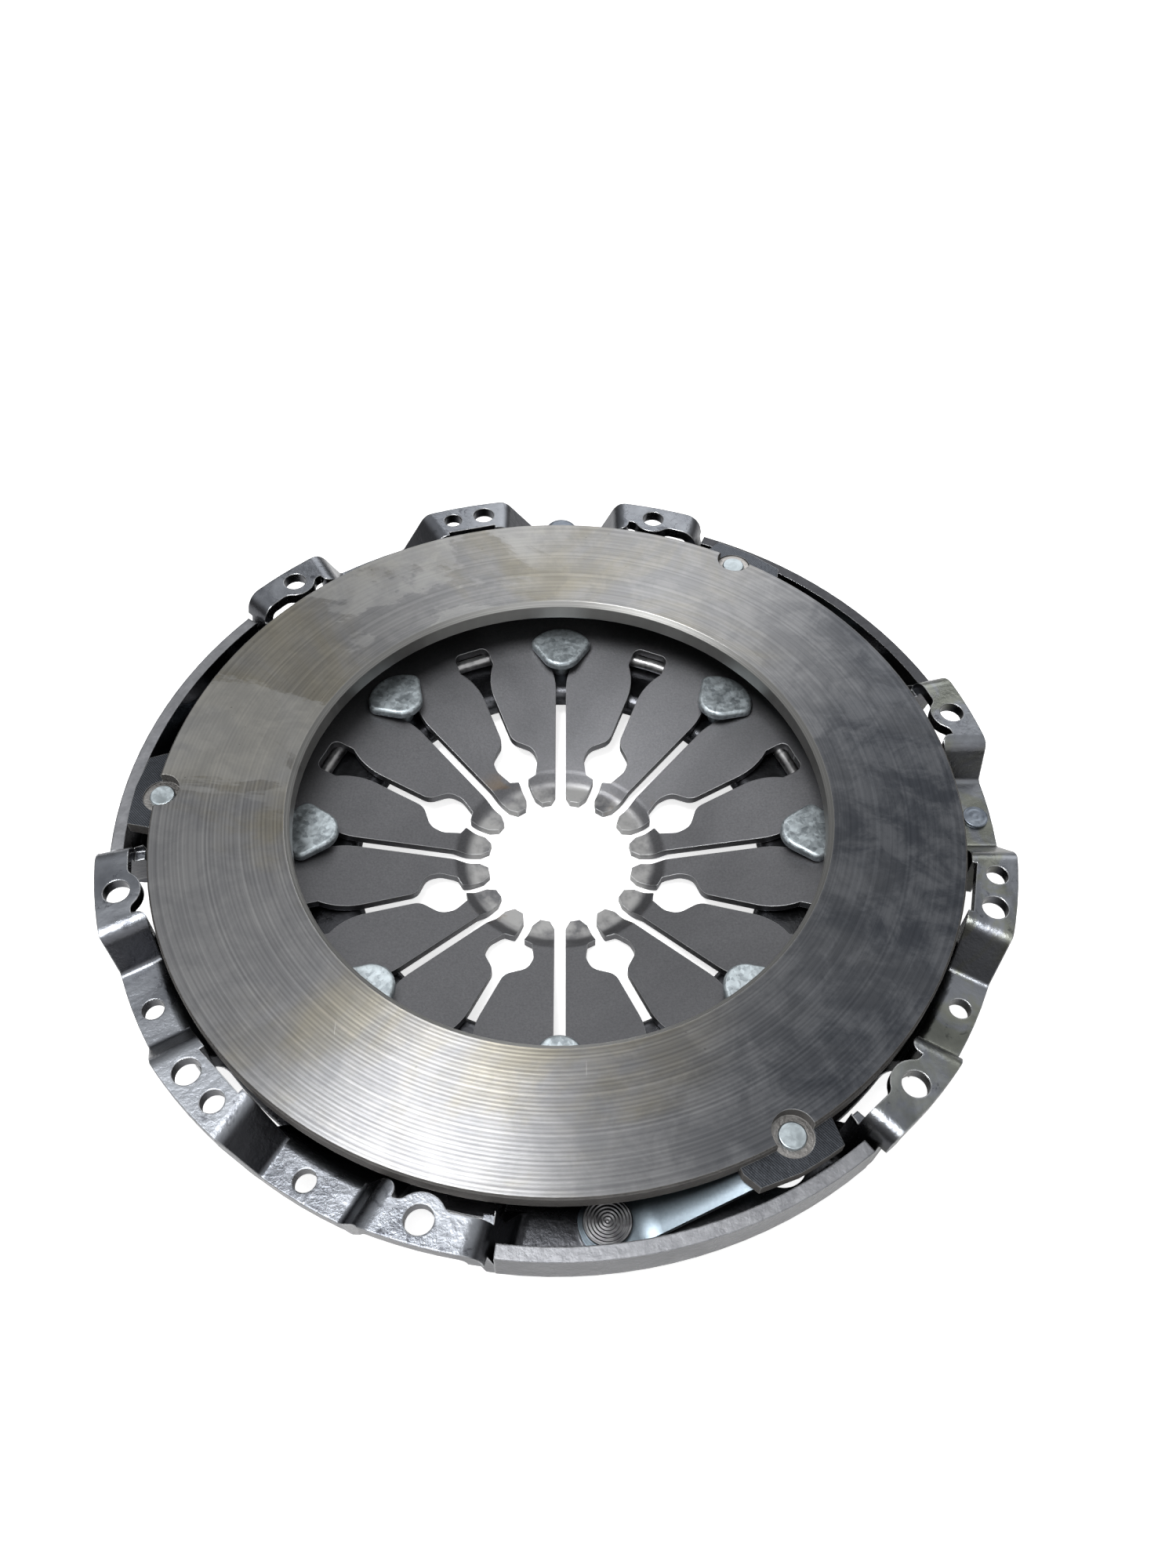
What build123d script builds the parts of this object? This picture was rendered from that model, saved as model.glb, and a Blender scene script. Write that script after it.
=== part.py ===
from build123d import *
from math import asin, atan2, cos, degrees, hypot, radians, sin, tan
import os

os.makedirs("parts", exist_ok=True)

# Clutch cover assembly for a 228 mm clutch. Millimetres and degrees.
# Origin: on the axis, in the plane of the cover's mounting faces. +Z points to the flywheel.

# --- stations -------------------------------------------------------------------------
stations = 3                    # flange groups, lugs and strap packs round the axis
lug_angle = 60.0                # first lug rivet
group_angle = 105.7             # middle of the first flange group
single_offset = 30.0            # single-bolt tabs, either side of the group's middle
pad_offset = 15.1               # recessed pads, either side of the group's middle
bolt_offset = 2.5               # bolt and dowel hole, either side of the group's middle
pivots = 8                      # pivot rivets; as many keyholes lie between them
pivot_angle = 0.6               # first pivot rivet
flat_balance_angle = 0.8
dome_balance_angle = 90.6

# --- pressure plate -------------------------------------------------------------------
plate_r = 115.5
plate_bore_r = 76.9
face_z = 0.9                    # friction face, in the free state
rim_thickness = 5.0
bore_thickness = 6.2
bore_land = 3.0                 # flat under the bore's edge
web_run = 7.0                   # from that flat down to the web
web_depth = 9.9                 # from the friction face to the underside of the web
bore_chamfer = 1.4
edge_chamfer = 0.5
ridge_inset = 14.5              # from the plate's edge in to the ridge that presses on the spring
ridge_width = 5.0
ridge_in_draft = 2.4
ridge_out_draft = 1.4
ridge_nose = 2.0
lug_step = 3.0                  # from the friction face down to a lug
lug_thickness = 3.9
lug_reach = 7.2                 # past the plate's edge
lug_half_width = 8.8
lug_ahead = 10.8                # from the lug rivet to the lug's free end
lug_end_slant = 0.6
lug_behind = 12.5               # from the lug rivet back to where the strap comes out
lug_corner = 2.5
lug_rivet_edge = 8.4            # from a lug's outer edge in to its rivet
counterbore_r = 5.5
counterbore_depth = 0.6

# --- cover ----------------------------------------------------------------------------
sheet = 3.6                     # pressed steel sheet
crown_z = -26.0                 # inner face of the crown
pad_z = -11.2                   # recessed pads of the flange
pocket_z = -20.0                # floor of the pockets that hold the strap packs
rim_z = -6.0                    # cut edge of the upright rim round the strap packs
plate_gap = 1.4                 # between the plate's edge and the wall
wall_run = 9.5                  # how far the wall leans out from the crown to the pads
pad_width = 11.1
tab_lip = 1.5                   # how far the tabs stand out past the pads
bolt_edge = 5.75                # from a tab's outer edge in to the bolt circle
balance_edge = 4.9              # from a pad's outer edge in to the balance holes
bolt_hole_r = 3.55              # M7 bolts
dowel_hole_r = 3.0
balance_hole_r = 2.9
ear_r = 6.4                     # ear round the hole of each single tab
ear_blend = 2.6
single_width = 8.9              # single tab beside its ear
double_width = 11.5             # double tab
single_end = 15.2               # from a single tab's hole to the end of its flat on the strap side
recess_half = 19.6              # from a pad's middle to the edge of the tab on either side
floor_to_double = 10.0          # from its middle to the slope up to the double tab
floor_to_single = 13.8          # and to the slope up to the single tab
tab_bend = 5.5                  # bend radius over a tab's edge
pad_bend = 2.0                  # bend radius at a pad's edge
collar_inset = 12.25            # from the pivot rivets in to the central opening
collar_depth = 5.2              # turned-down collar round the opening
crown_bend = 5.0
wall_bend = 4.0                 # over the top of the wall
collar_bend = 4.0
step_bend = 1.5                 # foot of the step up to a pocket's floor
window_bottom_z = -22.0         # windows through the wall behind the tabs
window_top_z = -sheet - 0.4
window_corner = 3.0
single_window_end = 8.5         # from a single tab's hole to the window's end on the pad side
double_window_start = -11.0     # window behind a double tab, from its middle
double_window_end = 16.0
rim_gap = 1.3                   # between a lug and the rim
strap_to_rim = 7.8              # from the rim in to the strap packs' rivets
pocket_inset = 1.8              # from the crown's edge out to the pocket's floor
pocket_bend = 3.0
pocket_step = 3.4               # run of the step from the floor down to the crown
seat_height = 1.2               # raised seat under each strap pack
seat_r = 7.0
end_run = 5.0                   # slope of a pocket's end wall
access_hole_r = 6.5             # riveting hole under each lug

# --- fulcrum --------------------------------------------------------------------------
wire_r = 2.0                    # wire ring on the crown, under the spring
pivot_circle_r = 73.45
pivot_neck_r = 3.45
pivot_shank_r = 3.0
pivot_head_height = 4.1         # top of a pivot rivet above the spring at its centre
pivot_head_thickness = 2.6
pivot_head_back = 9.65          # from the rivet's centre out to the head's broad side
pivot_head_front = 7.25         # and in to its nose
pivot_head_half_width = 10.2
pivot_shoulder = 2.75           # from the centre out to the ends of the broad side
pivot_cheek = 4.55              # from the centre in to the ends of the nose
pivot_cheek_half_width = 5.4
pivot_corner = 2.8
pivot_edge = 0.7
pivot_foot_r = 5.2
pivot_foot_thickness = 2.2

# --- diaphragm spring -----------------------------------------------------------------
spring_thickness = 2.6
cone_angle = 13.5
spring_overhang = 2.6           # past the middle of the plate's ridge
tip_r = 22.3
tip_length = 6.0                # flat finger tip
tip_bend_run = 4.0              # from the flat tip out to the cone
tip_drop = 2.58                 # tips below the cone
tip_bend = 4.5
root_bend = 4.0
slot_width = 3.3
keyhole_slot_width = 3.0        # between two tips at a keyhole
tip_flare = 2.5                 # how much a slot opens inside the tips
flare_length = 11.8
flare_radius = 19.0
window_inset = 0.15             # from the pivot circle in to the start of a spring window
window_reach = 6.55             # from the pivot circle out to its end
spring_window_corner = 2.4
bulb_inset = 0.5                # keyholes start this far inside the bend of the tips
bulb_length = 13.7
bulb_half_width = 7.0
bulb_shoulder = 4.7
bulb_neck_half_width = 4.4
bulb_bend = 4.5

# --- straps ---------------------------------------------------------------------------
strap_leaves = 3
leaf_thickness = 0.7
strap_width = 14.0
strap_corner = 6.0              # corners of the strap's ends
strap_flat = 9.0                # straight run either side of a rivet
strap_bend = 16.0
strap_sweep = 23.6              # angle from a cover rivet to its lug rivet
strap_head_r = 6.05
strap_head_thickness = 2.3
strap_shank_r = 3.2
strap_foot_r = 4.6
strap_foot_thickness = 2.0
lug_shank_r = 2.8
lug_head_r = 3.55
lug_head_thickness = 1.1
lug_foot_r = 5.2
lug_foot_thickness = 2.0
head_chamfer = 0.3
foot_chamfer = 0.5

# --- balance rivets -------------------------------------------------------------------
flat_head_r = 3.7
flat_head_thickness = 1.2
dome_head_r = 5.9
dome_head_height = 4.2
dome_crown = 0.7                # rise of the dome's flat-sided top
dome_bend = 2.6
balance_foot_r = 4.0
balance_foot_thickness = 1.6

fit = 0.05                      # clearance of a shank in its hole

# --- derived --------------------------------------------------------------------------
group_pitch = 360 / stations
half_pitch = group_pitch / 2
pivot_step = 360 / pivots
station_angles = [lug_angle + k * group_pitch for k in range(stations)]

pad_in_r = plate_r + plate_gap
pad_out_r = pad_in_r + pad_width
flange_r = pad_out_r + tab_lip
bolt_circle_r = flange_r - bolt_edge
balance_circle_r = pad_out_r - balance_edge
single_in_r = flange_r - single_width
double_in = flange_r - double_width             # straight inner edge, from the axis
crown_r = pad_in_r - wall_run
pocket_in_r = crown_r + pocket_inset
lug_reach_r = plate_r + lug_reach
lug_rivet_r = lug_reach_r - lug_rivet_edge
rim_in_r = lug_reach_r + rim_gap
strap_rivet_r = rim_in_r - strap_to_rim
ridge_r = plate_r - ridge_inset
spring_r = ridge_r + spring_overhang
collar_r = pivot_circle_r - collar_inset
wire_circle_r = pivot_circle_r + pivot_neck_r + fit + wire_r
window_in_r = pivot_circle_r - window_inset
window_out_r = pivot_circle_r + window_reach
flare_start_r = window_in_r - flare_length
tip_root_r = tip_r + tip_length
bend_r = tip_root_r + tip_bend_run
bulb_in_r = bend_r - bulb_inset
bulb_out_r = bulb_in_r + bulb_length

slope = tan(radians(cone_angle))
spring_drop = spring_thickness / cos(radians(cone_angle))
wire_z = crown_z + wire_r
spring_ref_z = wire_z + wire_r / cos(radians(cone_angle)) + spring_drop
ridge_z = spring_ref_z + (ridge_r - wire_circle_r) * slope
web_z = face_z - web_depth
lug_z = face_z - lug_step
counterbore_z = lug_z - counterbore_depth
lug_under_z = lug_z - lug_thickness
seat_z = pocket_z + seat_height
strap_stack = strap_leaves * leaf_thickness
wall_angle = degrees(atan2(pad_z - crown_z, wall_run))
wall_slope = wall_run / (pad_z - crown_z)
flat_in_r = pad_in_r + wall_bend * tan(radians(wall_angle / 2))


def cone_z(r):
    """Height of the spring's upper face at a radius, outside the finger tips."""
    return spring_ref_z + (r - wire_circle_r) * slope


def polar(r, angle, z=0.0):
    return Vector(r * cos(radians(angle)), r * sin(radians(angle)), z)


def upright(angle, r=0.0):
    """Upright plane at an angle: its X runs counterclockwise, its Y up, its normal outward."""
    return Plane(origin=polar(r, angle), x_dir=polar(1, angle + 90), z_dir=polar(1, angle))


def radial(angle):
    """Upright plane through the axis: its X runs outward at an angle, its Y up."""
    return Plane(origin=(0, 0, 0), x_dir=polar(1, angle), z_dir=polar(1, angle - 90))


def lower_face(points, radii, thickness):
    """Corners and bend radii under bent sheet whose upper face follows the points."""
    upper = [Vector(*point) for point in points]
    runs = [(end - start).normalized() for start, end in zip(upper, upper[1:])]
    rights = [Vector(run.Y, -run.X) for run in runs]
    lower = [upper[0] + rights[0] * thickness]
    lower_radii = []
    for corner, before, after, radius in zip(upper[1:], rights, rights[1:], radii):
        lower.append(corner + (before + after) * (thickness / (1 + before.dot(after))))
        turns_left = before.cross(after).Z > 0
        lower_radii.append(radius + thickness if turns_left else max(radius - thickness, 0))
    lower.append(upper[-1] + rights[-1] * thickness)
    return lower, lower_radii


def bent_section(points, radii, thickness):
    """Section of bent sheet: the points follow its upper face and the metal lies to their right.

    Both faces of a bend turn about one centre; radii are the upper face's."""
    lower, lower_radii = lower_face(points, radii, thickness)
    with BuildLine() as section:
        top = FilletPolyline(*points, radius=radii)
        under = FilletPolyline(*lower, radius=lower_radii)
        Line(top @ 0, under @ 0)
        Line(top @ 1, under @ 1)
    make_face(section.edges())


def section_below(points, radii, bottom_z):
    """Section of all that lies between a bent line and a level under it."""
    with BuildLine() as section:
        top = FilletPolyline(*points, radius=radii)
        Polyline(top @ 1, ((top @ 1).X, bottom_z), ((top @ 0).X, bottom_z), top @ 0)
    make_face(section.edges())


def save(part, name):
    part.label = name
    export_step(part, f"parts/{name}.step")


# --- pressure plate -------------------------------------------------------------------
def strap_frame(angle, z):
    """Plane at a lug rivet with X along the strap, away from the cover rivet."""
    lug = polar(lug_rivet_r, angle, z)
    anchor = polar(strap_rivet_r, angle - strap_sweep, z)
    return Plane(origin=lug, x_dir=lug - anchor, z_dir=(0, 0, 1))


with BuildPart() as pressure_plate:
    rim_under_z = face_z - rim_thickness
    bore_under_z = face_z - bore_thickness
    ridge_in_r = ridge_r - ridge_width / 2
    ridge_out_r = ridge_r + ridge_width / 2
    land_r = plate_bore_r + bore_land
    with BuildSketch(radial(0)) as plate_profile:
        with BuildLine():
            Polyline(
                (plate_bore_r, face_z - bore_chamfer),
                (plate_bore_r + bore_chamfer, face_z),
                (plate_r - edge_chamfer, face_z),
                (plate_r, face_z - edge_chamfer),
                (plate_r, rim_under_z),
                (ridge_out_r + ridge_out_draft, rim_under_z),
                (ridge_out_r, ridge_z + ridge_width / 2),
                (ridge_r, ridge_z),
                (ridge_in_r, ridge_z + ridge_width / 2),
                (ridge_in_r - ridge_in_draft, web_z),
                (land_r + web_run, web_z),
                (land_r, bore_under_z),
                (plate_bore_r, bore_under_z),
                close=True,
            )
        make_face()
        fillet(plate_profile.vertices().sort_by(Axis.Y)[0], radius=ridge_nose)
    revolve(axis=Axis.Z)
    for angle in station_angles:
        with BuildSketch(strap_frame(angle, lug_z)):
            Polygon(
                (-lug_behind - lug_corner, lug_half_width),
                (-lug_behind - lug_corner, -lug_half_width / 2),
                (-lug_behind, -lug_half_width),
                (lug_ahead, -lug_half_width),
                (lug_ahead + lug_end_slant, lug_half_width),
                align=None,
            )
        extrude(amount=-lug_thickness)
    with BuildSketch(Plane.XY.offset(face_z)):
        Circle(lug_reach_r + lug_half_width)
        Circle(lug_reach_r, mode=Mode.SUBTRACT)
    extrude(amount=lug_under_z - face_z, mode=Mode.SUBTRACT)
    with BuildSketch(Plane.XY.offset(counterbore_z)):
        with PolarLocations(lug_rivet_r, stations, start_angle=lug_angle):
            Circle(counterbore_r)
    extrude(amount=face_z - counterbore_z, mode=Mode.SUBTRACT)
    with BuildSketch(Plane.XY.offset(lug_under_z)):
        with PolarLocations(lug_rivet_r, stations, start_angle=lug_angle):
            Circle(lug_shank_r + fit)
    extrude(amount=lug_thickness, mode=Mode.SUBTRACT)
save(pressure_plate.part, "pressure_plate")


# --- diaphragm spring -----------------------------------------------------------------
def slot(tip_half, bulb):
    """Outline of a slot between two fingers, along +X from the tips outward."""
    half = slot_width / 2
    mouth_r = tip_r - tip_flare
    flare_angle = degrees(asin(flare_length / flare_radius))
    tips = ((mouth_r, 0), (mouth_r, tip_half + tip_flare), (tip_r + tip_flare, tip_half))
    with BuildSketch() as outline:
        with BuildLine():
            if bulb:
                FilletPolyline(
                    *tips,
                    (bulb_in_r - bulb_inset, tip_half),
                    (bulb_in_r, bulb_neck_half_width),
                    (bulb_in_r + bulb_shoulder, bulb_half_width),
                    (bulb_out_r - bulb_shoulder, bulb_half_width),
                    (bulb_out_r, half),
                    (flare_start_r, half),
                    radius=(0, bulb_inset, bulb_inset, bulb_inset, bulb_bend, bulb_bend, bulb_bend),
                )
            else:
                Polyline(*tips, (flare_start_r, half))
            flare = JernArc((flare_start_r, half), (1, 0), flare_radius, flare_angle)
            FilletPolyline(
                flare @ 1, (window_out_r, (flare @ 1).Y), (window_out_r, 0),
                radius=spring_window_corner,
            )
            mirror(about=Plane.XZ)
        make_face()
    return outline.sketch


with BuildPart() as diaphragm_spring:
    tip_z = cone_z(bend_r) - tip_drop
    with BuildSketch(radial(pivot_angle)):
        bent_section(
            ((tip_r, tip_z), (tip_root_r, tip_z), (bend_r, cone_z(bend_r)), (spring_r, cone_z(spring_r))),
            (tip_bend, root_bend), spring_thickness,
        )
    revolve(axis=Axis.Z)
    with BuildSketch(Plane.XY.offset(tip_z - 2 * spring_thickness)):
        for k in range(pivots):
            turn = pivot_angle + k * pivot_step
            add(Rot(Z=turn) * slot(slot_width / 2, bulb=False))
            add(Rot(Z=turn + pivot_step / 2) * slot(keyhole_slot_width / 2, bulb=True))
    extrude(amount=cone_z(spring_r) - tip_z + 3 * spring_thickness, mode=Mode.SUBTRACT)
save(diaphragm_spring.part, "diaphragm_spring")


# --- cover ----------------------------------------------------------------------------
def ring_sector(r_in, r_out, start, end):
    """Flat ring sector in the open sketch, from one angle to another."""
    with BuildLine() as outline:
        inner = CenterArc((0, 0), r_in, start, end - start)
        outer = CenterArc((0, 0), r_out, start, end - start)
        Line(inner @ 0, outer @ 0)
        Line(inner @ 1, outer @ 1)
    make_face(outline.edges())


def arc_degrees(length):
    """Angle that a tangential length takes on the bolt circle."""
    return degrees(length / bolt_circle_r)


end_foot = single_end + end_run                 # foot of a pocket's end wall, from a single hole
end_beyond = 6.0                                # flat run of the pocket's sheet past that foot
recess_lap = 4.6                                # flat run of a recess's sheet past a tab's edge
floor_inset = 0.3                               # a pad starts just past the bend over the wall
wall_inset = 0.8                                # end walls start inside the wall's sheet
rim_inset = 0.15                                # and stop just inside the rim's outer face
recess_end = arc_degrees(recess_half + recess_lap)
double_joint = pad_offset - recess_end          # where a double tab's flat meets its recesses
single_joint = single_offset - pad_offset - recess_end
pocket_start = single_offset + arc_degrees(single_end + end_run / 2)
strip_in_r = pocket_in_r - sheet
strip_depth = flange_r + sheet - strip_in_r


def recess():
    """Pad at angle 0, with slopes up to the double tab clockwise of it and the single tab beyond.

    The slopes run parallel to the pad, and the wall rises behind them."""
    far = recess_half + recess_lap + sheet
    points = ((-far, 0), (-recess_half, 0), (-floor_to_double, pad_z), (floor_to_single, pad_z),
              (recess_half, 0), (far, 0))
    radii = (tab_bend, pad_bend, pad_bend, tab_bend)
    lower, lower_radii = lower_face(points, radii, sheet)
    double_foot = -arc_degrees(floor_to_double)
    single_foot = arc_degrees(floor_to_single)
    edge = arc_degrees(recess_half)
    with BuildPart() as hollow:
        with BuildSketch(upright(0, strip_in_r)):
            section_below(lower, lower_radii, pad_z - 2 * sheet)
        extrude(amount=strip_depth)
        with BuildSketch(Plane.XY.offset(pad_z - 2 * sheet)):
            Circle(flange_r + sheet)
            Circle(pad_in_r + sheet, mode=Mode.SUBTRACT)
        extrude(amount=2 * sheet - pad_z, mode=Mode.INTERSECT)
    with BuildPart() as pad:
        with BuildSketch(upright(0, strip_in_r)):
            section_below(points, radii, pad_z - sheet)
        extrude(amount=strip_depth)
        with BuildSketch(Plane.XY.offset(pad_z - sheet)) as plan:
            with BuildLine():
                inner = CenterArc((0, 0), flat_in_r + floor_inset, -recess_end, 2 * recess_end)
                clockwise = CenterArc((0, 0), flange_r, -recess_end, recess_end - edge)
                floor = CenterArc((0, 0), pad_out_r, double_foot, single_foot - double_foot)
                beyond = CenterArc((0, 0), flange_r, edge, recess_end - edge)
                Polyline(clockwise @ 1, floor @ 0)
                Polyline(floor @ 1, beyond @ 0)
                Line(inner @ 0, clockwise @ 0)
                Line(inner @ 1, beyond @ 1)
            make_face()
            ring_sector(pad_in_r, pad_in_r + sheet, -recess_end, double_foot)
            ring_sector(pad_in_r, pad_in_r + sheet, single_foot, recess_end)
            fillet(plan.vertices().sort_by_distance(polar(pad_in_r, recess_end, pad_z - sheet))[0],
                   radius=ear_blend)
        extrude(amount=sheet - pad_z, mode=Mode.INTERSECT)
        add(hollow.part, mode=Mode.SUBTRACT)
    return pad.part


def single_tab():
    """Tab with one bolt hole at angle 0: a recess on its counterclockwise side, a pocket on the other."""
    near_pocket = -arc_degrees(single_end + end_run * 0.3)
    far_pocket = -arc_degrees(end_foot + end_beyond)
    end_in_r = pad_in_r + wall_inset
    end_out_r = rim_in_r + sheet - rim_inset
    floor_under_z = pocket_z - sheet
    with BuildPart() as room:
        # The end wall stands between the wall and the rim, and spreads to the tab's width above it.
        with BuildSketch(radial(far_pocket)):
            with BuildLine():
                FilletPolyline(
                    (crown_r + wall_inset + (floor_under_z - crown_z) * wall_slope, floor_under_z),
                    (end_out_r, floor_under_z), (end_out_r, rim_z), (end_in_r, rim_z), (end_in_r, pad_z),
                    close=True, radius=(0, pocket_bend + sheet, 0, 0, 0),
                )
            make_face()
        revolve(axis=Axis.Z, revolution_arc=-arc_degrees(single_end - sheet) - far_pocket)
        with BuildSketch(radial(far_pocket)):
            Polygon((end_in_r, rim_z), (end_out_r, rim_z), (flange_r, 0), (end_in_r, 0), align=None)
        revolve(axis=Axis.Z, revolution_arc=near_pocket - far_pocket)
        with BuildSketch(Plane.XY.offset(rim_z)) as plan:
            ring_sector(single_in_r, flange_r, near_pocket, single_joint)
            with Locations((bolt_circle_r, 0)):
                Circle(ear_r)
            Circle(flange_r, mode=Mode.INTERSECT)
            fillet([corner for corner in plan.vertices()
                    if abs(hypot(corner.X - bolt_circle_r, corner.Y) - ear_r) < fit
                    and hypot(corner.X, corner.Y) < bolt_circle_r], radius=ear_blend)
        extrude(amount=-rim_z)
    with BuildPart() as tab:
        with BuildSketch(upright(0, strip_in_r)):
            bent_section(
                ((-end_foot - end_beyond, pocket_z), (-end_foot, pocket_z), (-single_end, 0), (single_end, 0)),
                (pocket_bend, tab_bend), sheet,
            )
        extrude(amount=strip_depth)
        add(room.part, mode=Mode.INTERSECT)
    return tab.part


def window(angle, start, end):
    """Window through the wall behind a tab, between two tangential distances."""
    with BuildSketch(upright(angle, crown_r - sheet)) as opening:
        with Locations(((start + end) / 2, (window_bottom_z + window_top_z) / 2)):
            RectangleRounded(end - start, window_top_z - window_bottom_z, window_corner)
    extrude(opening.sketch, amount=wall_run + 2 * sheet + floor_inset, mode=Mode.SUBTRACT)


# One third of the cover, with its flange group round angle 0 and half a pocket at either end.
floor_start_r = crown_r - 4                     # where a pocket's sheet joins the crown
floor_lap_r = floor_start_r - 2
lip_r = flat_in_r + 1                           # the wall's sheet ends inside the pads
with BuildPart() as half_pocket:
    with BuildSketch(radial(pocket_start)):
        bent_section(
            ((floor_lap_r, crown_z), (pocket_in_r - pocket_step, crown_z), (pocket_in_r, pocket_z),
             (rim_in_r, pocket_z), (rim_in_r, rim_z)),
            (step_bend, collar_bend, pocket_bend), sheet,
        )
    revolve(axis=Axis.Z, revolution_arc=half_pitch - pocket_start)
with BuildPart() as double_flat:
    with BuildSketch(Plane.XY.offset(-sheet)):
        ring_sector(pad_in_r, flange_r, -double_joint, double_joint)
        with Locations((double_in / 2, 0)):
            Rectangle(double_in, double_in, mode=Mode.SUBTRACT)
    extrude(amount=sheet)
right_side = (
    half_pocket.part,
    Rot(Z=pad_offset) * recess(),
    Rot(Z=single_offset) * mirror(single_tab(), about=Plane.XZ),
)
left_side = [mirror(piece, about=Plane.XZ) for piece in right_side]
with BuildPart() as cover_third:
    with BuildSketch(radial(-half_pitch)):
        bent_section(
            ((collar_r, crown_z - collar_depth), (collar_r, crown_z), (crown_r, crown_z),
             (pad_in_r, pad_z), (lip_r, pad_z)),
            (collar_bend, crown_bend, wall_bend), sheet,
        )
    revolve(axis=Axis.Z, revolution_arc=group_pitch)
    # The wall gives way to the pockets.
    with BuildSketch(Plane.XY.offset(crown_z - sheet)):
        ring_sector(floor_start_r, flange_r, pocket_start, half_pitch)
        ring_sector(floor_start_r, flange_r, -half_pitch, -pocket_start)
    extrude(amount=sheet - crown_z, mode=Mode.SUBTRACT)
    window(-single_offset, -single_end, single_window_end)
    window(0, double_window_start, double_window_end)
    window(single_offset, -single_window_end, single_end)
    add([double_flat.part, *right_side, *left_side])

with BuildPart() as cover:
    with PolarLocations(0, stations, start_angle=group_angle):
        add(cover_third.part)
    with BuildSketch(Plane.XY.offset(pocket_z)):
        with PolarLocations(strap_rivet_r, stations, start_angle=lug_angle - strap_sweep):
            Circle(seat_r)
    extrude(amount=seat_height)
    # Holes
    with BuildSketch(Plane.XY.offset(crown_z - sheet)):
        for offset in (-single_offset, -bolt_offset, single_offset):
            with PolarLocations(bolt_circle_r, stations, start_angle=group_angle + offset):
                Circle(bolt_hole_r)
        for offset in (-pad_offset, pad_offset):
            with PolarLocations(balance_circle_r, stations, start_angle=group_angle + offset):
                Circle(balance_hole_r)
        with PolarLocations(bolt_circle_r, stations, start_angle=group_angle + bolt_offset):
            Circle(dowel_hole_r)
        with PolarLocations(strap_rivet_r, stations, start_angle=lug_angle - strap_sweep):
            Circle(strap_shank_r + fit)
        with PolarLocations(lug_rivet_r, stations, start_angle=lug_angle):
            Circle(access_hole_r)
        with PolarLocations(pivot_circle_r, pivots, start_angle=pivot_angle):
            Circle(pivot_shank_r + fit)
    extrude(amount=sheet - crown_z, mode=Mode.SUBTRACT)
save(cover.part, "cover")


# --- fulcrum --------------------------------------------------------------------------
with BuildPart() as fulcrum_ring:
    with BuildSketch(radial(pivot_angle + pivot_step / 2)):
        with Locations((wire_circle_r, wire_z)):
            Circle(wire_r)
    revolve(axis=Axis.Z)
save(fulcrum_ring.part, "fulcrum_ring")

with BuildPart() as pivot_rivet:
    head_top_z = cone_z(pivot_circle_r) + pivot_head_height
    head_under_z = head_top_z - pivot_head_thickness
    head_in_r = pivot_circle_r - pivot_head_front
    cheek_r = pivot_circle_r - pivot_cheek
    shoulder_r = pivot_circle_r + pivot_shoulder
    with BuildSketch(Plane.XY.offset(head_under_z)) as head:
        with BuildLine():
            nose = ThreePointArc((cheek_r, pivot_cheek_half_width), (head_in_r, 0),
                                 (cheek_r, -pivot_cheek_half_width))
            back = ThreePointArc((shoulder_r, pivot_head_half_width), (pivot_circle_r + pivot_head_back, 0),
                                 (shoulder_r, -pivot_head_half_width))
            Line(nose @ 0, back @ 0)
            Line(nose @ 1, back @ 1)
        make_face()
        fillet(head.vertices().group_by(Axis.X)[-1], radius=pivot_corner)
    extrude(amount=pivot_head_thickness)
    chamfer(pivot_rivet.faces().sort_by(Axis.Z)[-1].edges(), length=pivot_edge)
    # The head's underside rests on the spring outside the window.
    with BuildSketch(radial(0)):
        with BuildLine():
            start_r = head_in_r - pivot_edge
            Polyline((start_r, cone_z(start_r)), (spring_r, cone_z(spring_r)), (spring_r, crown_z),
                     (start_r, crown_z), close=True)
        make_face()
    revolve(axis=Axis.Z, mode=Mode.SUBTRACT)
    with Locations((pivot_circle_r, 0, crown_z)):
        Cylinder(pivot_neck_r, head_under_z + pivot_edge - crown_z,
                 align=(Align.CENTER, Align.CENTER, Align.MIN))
    with Locations((pivot_circle_r, 0, crown_z - sheet)):
        Cylinder(pivot_shank_r, sheet, align=(Align.CENTER, Align.CENTER, Align.MIN))
        Cylinder(pivot_foot_r, pivot_foot_thickness, align=(Align.CENTER, Align.CENTER, Align.MAX))
    chamfer(pivot_rivet.faces().sort_by(Axis.Z)[0].edges(), length=pivot_edge)
for k in range(pivots):
    save(Rot(Z=pivot_angle + k * pivot_step) * pivot_rivet.part, f"pivot_rivet_{k + 1}")


# --- straps ---------------------------------------------------------------------------
def round_rivet(name, place, head_r, head_top_z, head_thickness, shank_r, foot_r, foot_top_z, foot_thickness):
    """Round rivet at a point: a set head, a shank and a formed foot."""
    with BuildPart(Plane(origin=(place.X, place.Y, 0))) as rivet:
        with Locations((0, 0, head_top_z)):
            Cylinder(head_r, head_thickness, align=(Align.CENTER, Align.CENTER, Align.MAX))
        chamfer(rivet.faces().sort_by(Axis.Z)[-1].edges(), length=head_chamfer)
        with Locations((0, 0, foot_top_z)):
            Cylinder(shank_r, head_top_z - head_thickness - foot_top_z,
                     align=(Align.CENTER, Align.CENTER, Align.MIN))
            Cylinder(foot_r, foot_thickness, align=(Align.CENTER, Align.CENTER, Align.MAX))
        chamfer(rivet.faces().sort_by(Axis.Z)[0].edges(), length=foot_chamfer)
    save(rivet.part, name)


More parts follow.
